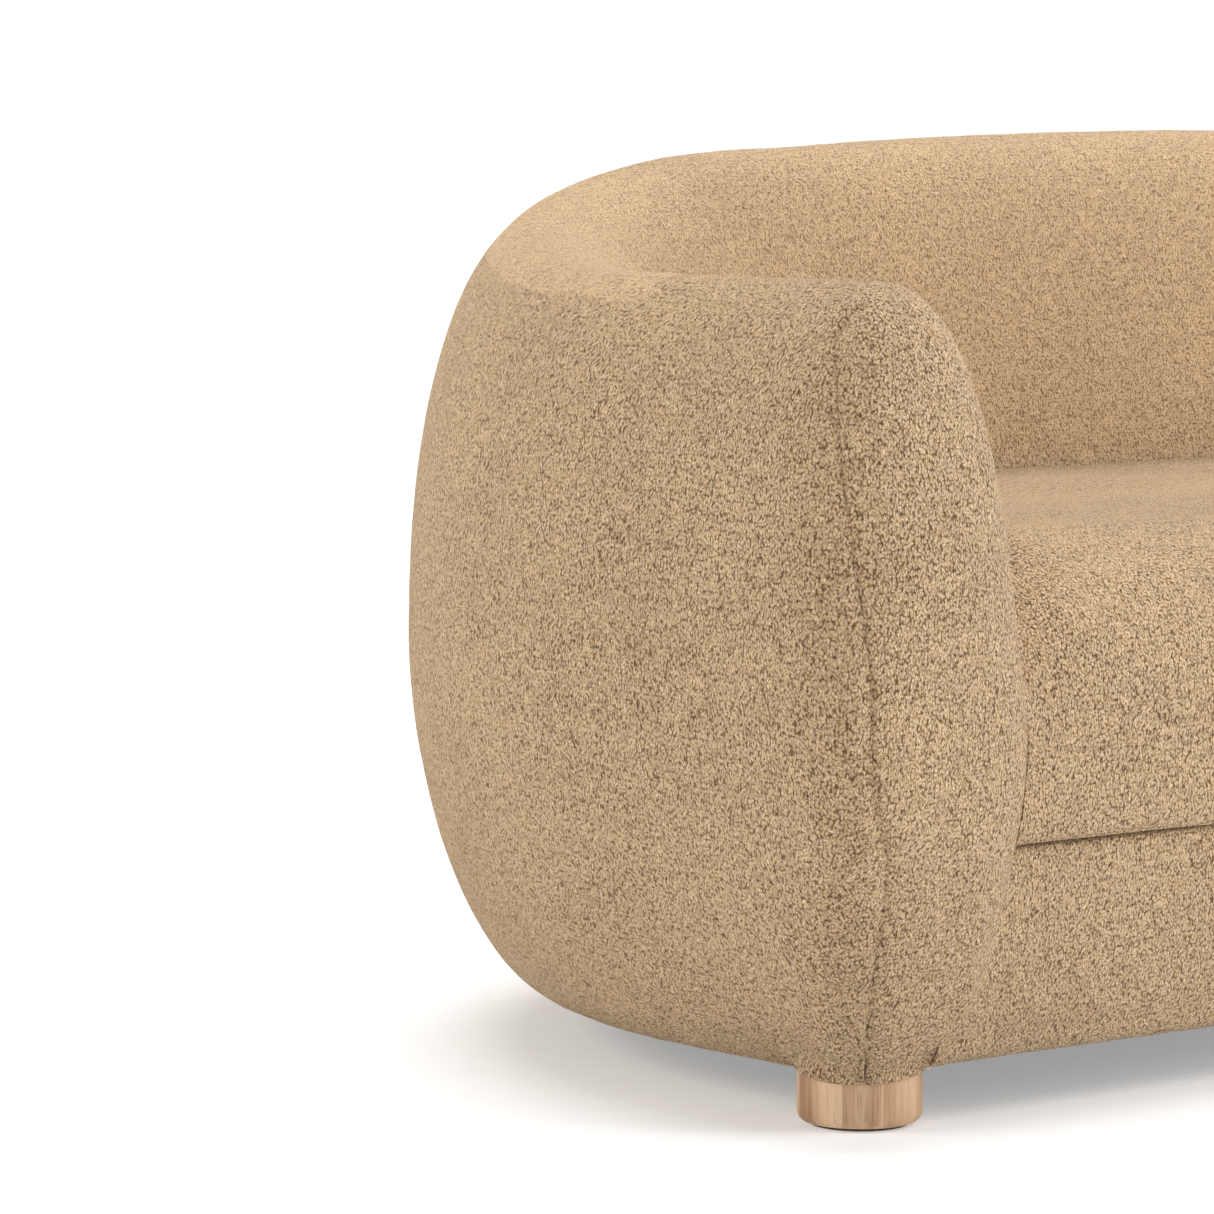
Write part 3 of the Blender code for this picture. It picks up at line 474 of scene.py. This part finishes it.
def boucle(name, relief_and_shade):
    """Looped wool-like yarn: rounded nubs a few millimetres across. Their colour is painted with shade,
    dark in the gaps between the nubs and lighter on their tops. The second argument sets how far the bumps
    stand and how strong the painted gap shade is; on cloth facing upward the painted shade is faded a little."""
    n = Nodes(name)
    warp = n.noise(n.place, 250, 2.0)
    bent = n.add("ShaderNodeVectorMath", operation="MULTIPLY_ADD")
    n.link(warp.outputs["Color"], bent.inputs[0])
    bent.inputs[1].default_value = (0.0024, 0.0024, 0.0024)
    n.link(n.place, bent.inputs[2])
    long_way = n.scaled(bent.outputs[0], (1.0, 1.0, 0.68))
    loops = n.cells(long_way, 520)
    loops.inputs["Randomness"].default_value = 0.85
    curls = n.cells(long_way, 980)
    rough = n.noise(n.scaled(n.place, (1, 1, 0.5)), 340, 3.0, 0.62)

    def domes(cells, width):
        reach = n.math("MULTIPLY", cells.outputs["Distance"], width)
        return n.math("SQRT", n.math("SUBTRACT", 1.0, n.math("MULTIPLY", reach, reach), clamp=True))
    height = n.math("MULTIPLY_ADD", domes(loops, 1.20), 0.62, n.math("MULTIPLY", domes(curls, 1.12), 0.24))
    height = n.math("MULTIPLY_ADD", rough.outputs["Fac"], 0.28, height)
    # painted shade: colour from dark in the gaps between nubs to light on their tops
    shade = n.ramp(height, [(0.34, colour(112, 82, 50)), (0.60, colour(158, 126, 87)),
                            (0.80, colour(197, 166, 126)), (0.96, colour(224, 196, 159))])
    # the painted gap shade is faded toward a plain colour, more where the cloth faces upward and more when
    # the second argument is low
    facing = n.add("ShaderNodeSeparateXYZ")
    n.link(n.add("ShaderNodeNewGeometry").outputs["Normal"], facing.inputs[0])
    upward = n.math("SUBTRACT", facing.outputs["Z"], 0.55, clamp=True)
    level = n.math("MULTIPLY", upward, 0.12 * relief_and_shade)
    painted_shade_fade = n.math("ADD", level, 1 - relief_and_shade, clamp=True)
    shade = n.mix(painted_shade_fade, shade, colour(202, 172, 134))
    cloud = n.noise(n.place, 5.5, 3.0, 0.55)
    fleck = n.noise(n.place, 150, 3.0, 0.6)
    patchy = n.math("MULTIPLY_ADD", fleck.outputs["Fac"], 0.7, n.math("MULTIPLY", cloud.outputs["Fac"], 0.3))
    tone = n.ramp(patchy, [(0.36, (0.80, 0.77, 0.76, 1)), (0.62, (1.05, 1.04, 1.02, 1))])
    base = n.mix(1.0, shade, tone, "MULTIPLY")
    normal = n.bump(height, 0.0052 * relief_and_shade)
    return n.finish(base, 0.92, normal, Sheen_Weight=0.22, Sheen_Roughness=0.40, Specular_IOR_Level=0.15,
                    Sheen_Tint=colour(255, 250, 242))


def leg_wood(name, light, middle, dark, turn):
    """Glued staves of pale timber, each with its own tone and figure along its length."""
    n = Nodes(name)
    turned = n.scaled(n.place, (1, 1, 1), (0, 0, turn))
    split = n.add("ShaderNodeSeparateXYZ")
    n.link(turned, split.inputs[0])
    number = n.math("FLOOR", n.math("DIVIDE", split.outputs["X"], STAVE))
    pick = n.add("ShaderNodeTexWhiteNoise", noise_dimensions="1D")
    n.link(number, pick.inputs["W"])
    shifted = n.add("ShaderNodeVectorMath", operation="ADD")
    n.link(turned, shifted.inputs[0])
    n.link(pick.outputs["Color"], shifted.inputs[1])
    grain = n.noise(n.scaled(shifted.outputs[0], (210, 90, 7)), 1.0, 4.0, 0.62)
    figure = n.noise(n.scaled(shifted.outputs[0], (42, 22, 3.4)), 1.0, 2.5, 0.5)
    pores = n.noise(n.scaled(shifted.outputs[0], (900, 700, 26)), 1.0, 1.0, 0.5)
    faint = n.math("MULTIPLY", grain.outputs["Fac"], 0.3)
    streaks = n.math("MULTIPLY_ADD", figure.outputs["Fac"], 0.75, faint)
    body = n.ramp(streaks, [(0.36, dark), (0.50, middle), (0.66, light)])
    toned = n.mix(n.math("MULTIPLY", pick.outputs["Value"], 0.5), body, middle)
    pits = n.ramp(pores.outputs["Fac"], [(0.60, (0, 0, 0, 1)), (0.72, (0.55, 0.55, 0.55, 1))])
    pored = n.mix(pits, toned, dark)
    edge = n.math("FRACT", n.math("DIVIDE", split.outputs["X"], STAVE))
    glue = n.math("GREATER_THAN", n.math("ABSOLUTE", n.math("SUBTRACT", edge, 0.5)), 0.488)
    base = n.mix(n.math("MULTIPLY", glue, 0.35), pored, dark)
    normal = n.bump(n.math("ADD", grain.outputs["Fac"], pores.outputs["Fac"]), 0.0003, 0.35)
    rough = n.math("MULTIPLY_ADD", grain.outputs["Fac"], 0.18, 0.38)
    return n.finish(base, rough, normal, Specular_IOR_Level=0.4)


def board_wood():
    n = Nodes("sawn_timber")
    grain = n.noise(n.scaled(n.place, (9, 9, 60)), 1.0, 4.0, 0.6)
    fine = n.noise(n.scaled(n.place, (60, 60, 420)), 1.0, 2.0, 0.5)
    streaks = n.math("MULTIPLY_ADD", fine.outputs["Fac"], 0.3, n.math("MULTIPLY", grain.outputs["Fac"], 0.8))
    base = n.ramp(streaks, [(0.35, colour(150, 112, 70)), (0.55, colour(192, 156, 110)),
                            (0.75, colour(214, 184, 140))])
    return n.finish(base, 0.75, n.bump(fine.outputs["Fac"], 0.0006, 0.5))


def foam_block():
    n = Nodes("seat_foam_block")
    pores = n.cells(n.place, 700)
    soft = n.noise(n.place, 30, 3.0)
    base = n.ramp(n.math("MULTIPLY_ADD", soft.outputs["Fac"], 0.4, pores.outputs["Distance"]),
                  [(0.2, colour(196, 180, 128)), (0.9, colour(236, 226, 186))])
    return n.finish(base, 0.95, n.bump(pores.outputs["Distance"], 0.0006, 0.8))


def wire_steel():
    n = Nodes("spring_steel")
    scale = n.noise(n.place, 140, 4.0, 0.6)
    base = n.ramp(scale.outputs["Fac"], [(0.35, colour(92, 90, 88)), (0.7, colour(150, 149, 147))])
    return n.finish(base, n.math("MULTIPLY_ADD", scale.outputs["Fac"], 0.25, 0.25),
                    n.bump(scale.outputs["Fac"], 0.0002, 0.4), Metallic=1.0)


def woven(name, dark, light, scale, depth):
    """Plain weave: two crossed sets of fine threads."""
    n = Nodes(name)
    split = n.add("ShaderNodeSeparateXYZ")
    n.link(n.place, split.inputs[0])
    x, y, z = split.outputs
    warp = n.math("SINE", n.math("MULTIPLY", n.math("ADD", x, z), scale))
    weft = n.math("SINE", n.math("MULTIPLY", n.math("SUBTRACT", y, z), scale))
    thread = n.math("MULTIPLY_ADD", n.math("MULTIPLY", warp, weft), 0.5, 0.5)
    uneven = n.noise(n.place, 60, 3.0)
    height = n.math("MULTIPLY_ADD", uneven.outputs["Fac"], 0.4, n.math("MULTIPLY", thread, 0.7))
    return n.finish(n.ramp(height, [(0.2, dark), (0.8, light)]), 0.9, n.bump(height, depth, 0.7))


def felt():
    n = Nodes("pressed_felt")
    fibres = n.noise(n.place, 900, 3.0, 0.7)
    patches = n.noise(n.place, 70, 2.0)
    height = n.math("MULTIPLY_ADD", patches.outputs["Fac"], 0.3, fibres.outputs["Fac"])
    return n.finish(n.ramp(height, [(0.4, colour(58, 54, 50)), (0.9, colour(104, 98, 92))]), 0.98,
                    n.bump(fibres.outputs["Fac"], 0.0005, 0.8))


# ---- camera ------------------------------------------------------------------------------------
camera_data = bpy.data.cameras.new("camera")
camera_data.sensor_width = 36
camera_data.lens = 166.04
camera = placed("camera", camera_data)
forward = Vector((0.61926, 0.77994, -0.09062)).normalized()
right = Vector((0.78316, -0.62181, 0.0)).normalized()
turn = Matrix((right, right.cross(forward), -forward)).transposed().to_4x4()
camera.matrix_world = Matrix.Translation((-3.7534, -3.5079, 0.7730)) @ turn
bpy.context.scene.camera = camera

# ---- seams -------------------------------------------------------------------------------------
seam_places = section_places(0, FRONT_SEAM, 0.002)
corner_seam = panel_point(seam_places, seam_angle(seam_places))
top_angles = np.linspace(float(seam_angle(FRONT_SEAM)), 0, 14)
top_turn = panel_point(np.full(14, FRONT_SEAM), top_angles)
runs = np.linspace(0, HALF_RUN, 900)
crest_line = wall_point(runs, crest_seam(runs))
left_seams = [(corner_seam, 0.0026), (top_turn, 0.0015), (crest_line, 0.0007)]
seams = seam_tree(left_seams + [(flip(line), depth) for line, depth in left_seams])


def seam_pull(point):
    return seam_move(point, *seams)


def inside_rows(runs):
    """Rows of an inside cover, from the crest seam down to where it ends behind the seat."""
    drop = skirt_t - FRONT_SEAM
    return np.array([wall_point(run, crest + drop * (INSIDE_END - crest) / drop[-1])
                     for run, crest in zip(runs, crest_seam(runs))])


# ---- wall covers -------------------------------------------------------------------------------
cloth = boucle("boucle_cloth", 1.0)
# the back's copy has flatter bumps and weaker painted gap shade
inside_cloth = boucle("boucle_cloth_back", 0.62)
LEG_NAMES = ("front_left", "front_right", "rear_left", "rear_right")
leg_places = [(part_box(name + "_leg")[0].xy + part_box(name + "_leg")[1].xy) / 2 for name in LEG_NAMES]
outer_shares = section_places(0, ARM_SEAM, end=True) / ARM_SEAM
run_places = graded(HALF_RUN, STEP)
outer = np.array([wall_point(run, outer_shares * float(crest_seam(run))) for run in run_places])
front_places = outer_shares * FRONT_SEAM
start = seam_angle(front_places)
rim = np.array([panel_point(front_places, start * step) for step in np.linspace(0, 1, 13)])
tuck = np.array([wall_point(run, np.linspace(5, 4.1, 7)) for run in run_places])
grids = [outer, rim, tuck]
mesh = sheet_mesh("outside_cover_cloth", grids + [flip(grid) for grid in grids], wall_core)
fit(mesh, seam_pull)
leg_holes(mesh, leg_places)
settle(cloth_object("outside_cover_cloth", mesh, cloth), ["outside_cover"])

PANEL_REACH = 0.30          # about the cloth's way from the corner seam to the panel's middle
shares = graded(PANEL_REACH, 0.0085, start=True) / PANEL_REACH
inner_t = section_places(FRONT_SEAM, 5.0, start=True)
cap_outer = panel_rows(front_places, start, shares)
cap_start = np.where(inner_t < 4, seam_angle(FRONT_SEAM), 0.0) * ease((3.0 - inner_t) / (3.0 - FRONT_SEAM))
cap_inner = panel_rows(inner_t, cap_start, shares)
strip = np.array([panel_point(inner_t, cap_start * step) for step in np.linspace(0, 1, 5)])
skirt_t = section_places(FRONT_SEAM, INSIDE_END, start=True)
inside = inside_rows(graded(SIDE_RUN, STEP))
for side in ("left", "right"):
    grids = [cap_outer, cap_inner, strip, inside]
    if side == "right":
        grids = [flip(grid) for grid in grids]
    mesh = sheet_mesh(side + "_arm_cover_cloth", grids, wall_core)
    fit(mesh, seam_pull)
    leg_holes(mesh, leg_places)
    settle(cloth_object(side + "_arm_cover_cloth", mesh, cloth), [side + "_arm_cover"])

back = inside_rows(SIDE_RUN + graded(HALF_RUN - SIDE_RUN, STEP))
mesh = sheet_mesh("back_cover_cloth", [back, flip(back)], wall_core)
fit(mesh, seam_pull)
settle(cloth_object("back_cover_cloth", mesh, inside_cloth), ["back_cover"])


# ---- seat --------------------------------------------------------------------------------------
def seat_half(y, height):
    """Half the width between the arms and round the rear corners, at a place on the seat."""
    inset = float(arm_inset(y, height)) - TOUCH
    if y <= CORNER_Y:
        return HALF_WIDTH - inset
    return CORNER_X + max((CORNER_RADIUS - inset) ** 2 - (y - CORNER_Y) ** 2, 0) ** 0.5


def seat_outline():
    """(y, height) from the front seam over the rounded front and the top to the rear edge."""
    angles = np.linspace(0, pi / 2, 40)
    rear = REAR_Y - WALL - 0.0006
    last = asin(min((rear - 0.004 - CORNER_Y) / (CORNER_RADIUS - WALL), 1.0))
    turning = np.linspace(0, last, 70)[1:]
    level = np.concatenate([np.linspace(SEAT_FRONT + SEAT_RADIUS, CORNER_Y, 40)[1:],
                            CORNER_Y + (rear - SEAT_TUCK - CORNER_Y) * np.sin(turning) / sin(last)])
    fall = (SEAT_HEIGHT - SEAT_REAR_HEIGHT) * ease((level - CORNER_Y) / (rear - CORNER_Y))
    tail = np.linspace(0, pi / 2, 8)[1:]
    lip = ((0.026, 0.001), (0.012, 0.0), (0.006, 0.001), (0.003, 0.0045), (0.0012, 0.011), (0.0006, 0.022))
    points = np.concatenate([
        [(SEAT_FRONT + back, SEAT_BASE + up) for back, up in lip],
        np.stack([SEAT_FRONT + SEAT_RADIUS * (1 - np.cos(angles)),
                  SEAT_HEIGHT - SEAT_RADIUS * (1 - np.sin(angles))], -1),
        np.stack([level, SEAT_HEIGHT - fall], -1),
        np.stack([rear - SEAT_TUCK * (1 - np.sin(tail)),
                  SEAT_REAR_HEIGHT - SEAT_TUCK * (1 - np.cos(tail))], -1),
        [(rear, SEAT_REAR_HEIGHT - 0.06), (rear, SEAT_BASE + 0.08)]])
    whole = lengths(points)[-1]
    bend = whole - 0.225        # from here on the rear corners turn quickly, so the rows are closer
    at = graded(whole, STEP, start=True)
    return along(points, np.concatenate([at[at < bend - STEP], np.arange(bend, whole, 0.0030), [whole]]))


edge_t = graded(0.9, STEP, end=True) / 0.9
columns = np.concatenate([-edge_t[:0:-1], edge_t])
grid = []
for y, height in seat_outline():
    fullness = (height - SEAT_BASE) / (SEAT_HEIGHT - SEAT_BASE)
    edge = np.maximum(np.abs(columns) - 0.9, 0) / 0.1
    z = height - SEAT_SIDE_DROP * fullness * edge ** 2
    half = seat_half(y, z[0])
    row = np.stack([columns * half, np.full(len(columns), y), z], -1)
    side = [z[0] + (SEAT_BASE - z[0]) * share for share in (0.1, 0.25, 0.5, 0.75)]
    side = np.array([(seat_half(y, low) - 0.004, y, low) for low in side])
    grid.append(np.concatenate([flip(side)[::-1], row, side]))
mesh = sheet_mesh("seat_cover_cloth", [np.array(grid)], lambda p: Vector((p.x * 0.85, 0.0, 0.2)))


def pinched(point):
    """The seat's front shoulder is drawn in where it meets each arm."""
    side = HALF_WIDTH - WALL - abs(point.x)
    across = (point.y - (SEAT_FRONT + 0.030)) / 0.085
    up = (point.z - 0.335) / 0.075
    hollow = -0.0040 * np.exp(-(side / 0.060) ** 2 - across ** 2 - up ** 2)
    ray = noise.noise(Vector((up * 3.2 + side * 9, 0.7, 0.2 if point.x > 0 else 4.2)))
    return float(hollow + 0.0012 * ray * np.exp(-((side - 0.03) / 0.07) ** 2 - (across * 0.8) ** 2 - up ** 2))


fit(mesh, pinched)
settle(cloth_object("seat_cover_cloth", mesh, cloth), ["seat_cover"])

# ---- front border ------------------------------------------------------------------------------
foot = BORDER_FRONT + BORDER_BULGE
face = BORDER_TOP - BORDER_BOTTOM
border = [(JOINT_Y + 0.02, BORDER_BOTTOM), (foot + 0.03, BORDER_BOTTOM)]
for angle in np.linspace(0, pi / 2, 10):
    border.append((foot + BORDER_EDGE * (1 - sin(angle)), BORDER_BOTTOM + BORDER_EDGE * (1 - cos(angle))))
for share in np.linspace(0.2, 0.9, 12):
    bulge = BORDER_BULGE * (1 - sin(share * pi / 2)) ** 1.2
    border.append((BORDER_FRONT + bulge, BORDER_BOTTOM + share * face))
border += [(BORDER_FRONT + back, BORDER_TOP - down) for back, down in
           ((0.0003, 0.006), (0.0014, 0.003), (0.004, 0.0008), (0.010, 0.0), (0.020, 0.0))]
border = np.array(border)
border = along(border, graded(lengths(border)[-1], STEP * 0.8, end=True))
grid = []
for y, z in border:
    under = 0.030 * float(ease((0.150 - z) / 0.09))     # low down its ends go behind the panels
    half = HALF_WIDTH - float(arm_inset(y, z)) + TOUCH + under
    grid.append([(share * half, y, z) for share in np.linspace(-1, 1, 205)])
mesh = sheet_mesh("front_border_cloth", [np.array(grid)], lambda p: Vector((p.x, JOINT_Y + 0.03, 0.13)))
fit(mesh)
settle(cloth_object("front_border_cloth", mesh, cloth), ["front_border_cover"])


# ---- legs --------------------------------------------------------------------------------------
def turned(name, centre, profile, sides, material):
    """A solid of revolution from (radius, height) points that run down its side."""
    bm = bmesh.new()
    rings = []
    for radius, height in profile:
        angles = [2 * pi * k / sides for k in range(sides if radius > 1e-6 else 1)]
        rings.append([bm.verts.new((centre.x + radius * cos(angle), centre.y + radius * sin(angle), height))
                      for angle in angles])
    for ring, following in zip(rings, rings[1:]):
        for k in range(sides):
            a, b = ring[k % len(ring)], ring[(k + 1) % len(ring)]
            c, d = following[(k + 1) % len(following)], following[k % len(following)]
            bm.faces.new(list(dict.fromkeys((a, b, c, d))))
    bmesh.ops.recalc_face_normals(bm, faces=bm.faces)
    made = bpy.data.meshes.new(name)
    bm.to_mesh(made)
    bm.free()
    made.shade_smooth()
    made.set_sharp_from_angle(angle=radians(50))
    made.materials.append(material)
    return placed(name, made)


for number, (name, place) in enumerate(zip(LEG_NAMES, leg_places)):
    leg_timber = leg_wood(name + "_leg_wood", colour(224, 192, 158), colour(198, 163, 128),
                          colour(150, 108, 76), radians(38 + 47 * number))
    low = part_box(name + "_leg")[0].z
    profile = [(0.0, LEG_TOP), (0.0040, LEG_TOP), (LEG_RADIUS - 0.0012, LEG_TOP),
               (LEG_RADIUS, LEG_TOP - 0.0012)]
    for height in np.linspace(LEG_TOP - 0.004, low + LEG_EDGE, 7):
        profile.append((LEG_RADIUS + 0.0002 * sin(height * 90), float(height)))
    for angle in np.linspace(0, pi / 2, 9)[1:]:
        profile.append((LEG_RADIUS - LEG_EDGE * (1 - cos(angle)), low + LEG_EDGE * (1 - sin(angle))))
    profile.append((0.0, low))
    settle(turned(name + "_turned_leg", place, profile, 96, leg_timber), [name + "_leg"])

# ---- the CAD pieces that stay ------------------------------------------------------------------
finishes = {"frame_wood": board_wood(), "foam": foam_block(), "steel": wire_steel(), "felt": felt(),
            "webbing": woven("elastic_webbing", colour(38, 38, 40), colour(92, 92, 96), 2200, 0.0004),
            "sheet": woven("dust_sheet_cloth", colour(22, 22, 22), colour(58, 58, 58), 3600, 0.0002)}


def finish_of(name):
    if "foam" in name:
        return "foam"
    if "webbing" in name:
        return "webbing"
    if name == "dust_cover":
        return "sheet"
    if "bolt" in name or "spring" in name:
        return "steel"
    if "pad" in name or "insulator" in name:
        return "felt"
    return "frame_wood"


for name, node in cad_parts.items():
    if node.hide_render:
        continue
    for spot in node.material_slots:
        spot.link = "OBJECT"
        spot.material = finishes[finish_of(name)]

# ---- floor and light ---------------------------------------------------------------------------
ground = Nodes("pale_floor")
speck = ground.noise(ground.place, 40, 3.0)
pale = ground.ramp(speck.outputs["Fac"], [(0.3, (0.66, 0.665, 0.67, 1)), (0.7, (0.69, 0.695, 0.70, 1))])
ground.finish(pale, 0.9, Specular_IOR_Level=0.1, Emission_Color=(1, 1, 1, 1), Emission_Strength=0.31)
bm = bmesh.new()
bmesh.ops.create_circle(bm, cap_ends=True, segments=96, radius=40)
floor_mesh = bpy.data.meshes.new("floor")
bm.to_mesh(floor_mesh)
bm.free()
floor_mesh.materials.append(ground.material)
floor = placed("floor", floor_mesh)

bpy.context.scene.view_settings.view_transform = "Standard"
world = bpy.data.worlds.new("studio")
bpy.context.scene.world = world
world.use_nodes = True
tree = world.node_tree
seen = tree.nodes.new("ShaderNodeBackground")
seen.inputs["Color"].default_value = (1, 1, 1, 1)
seen.inputs["Strength"].default_value = 1.02
fill = tree.nodes["Background"]
fill.inputs["Color"].default_value = (1, 1, 1, 1)
fill.inputs["Strength"].default_value = 0.36
path = tree.nodes.new("ShaderNodeLightPath")
blend = tree.nodes.new("ShaderNodeMixShader")
tree.links.new(path.outputs["Is Camera Ray"], blend.inputs[0])
tree.links.new(fill.outputs[0], blend.inputs[1])
tree.links.new(seen.outputs[0], blend.inputs[2])
tree.links.new(blend.outputs[0], tree.nodes["World Output"].inputs["Surface"])


LAMP_SIZE = 2.4


def soft_light(name, place, aim, power, tint):
    data = bpy.data.lights.new(name, "AREA")
    data.shape = "DISK"
    data.size = LAMP_SIZE
    data.energy = power
    data.color = tint
    lamp = placed(name, data)
    lamp.location = place
    lamp.rotation_euler = (Vector(aim) - Vector(place)).to_track_quat("-Z", "Y").to_euler()


sky = bpy.data.lights.new("sky_panel", "SUN")
sky.energy = 3.15
sky.angle = radians(50)
sky_lamp = placed("sky_panel", sky)
sky_lamp.rotation_euler = Vector((0.22, 0.25, 1.0)).to_track_quat("Z", "Y").to_euler()
soft_light("left_rear", (-4.2, 1.6, 2.0), (-0.8, 0, 0.4), 80, (1.0, 0.955, 0.88))
soft_light("front_right", (2.8, -3.8, 1.5), (0, -0.2, 0.4), 108, (0.985, 0.985, 1.0))
soft_light("front_high", (0.6, -3.0, 3.4), (0, 0.1, 0.5), 75, (0.985, 0.985, 1.0))
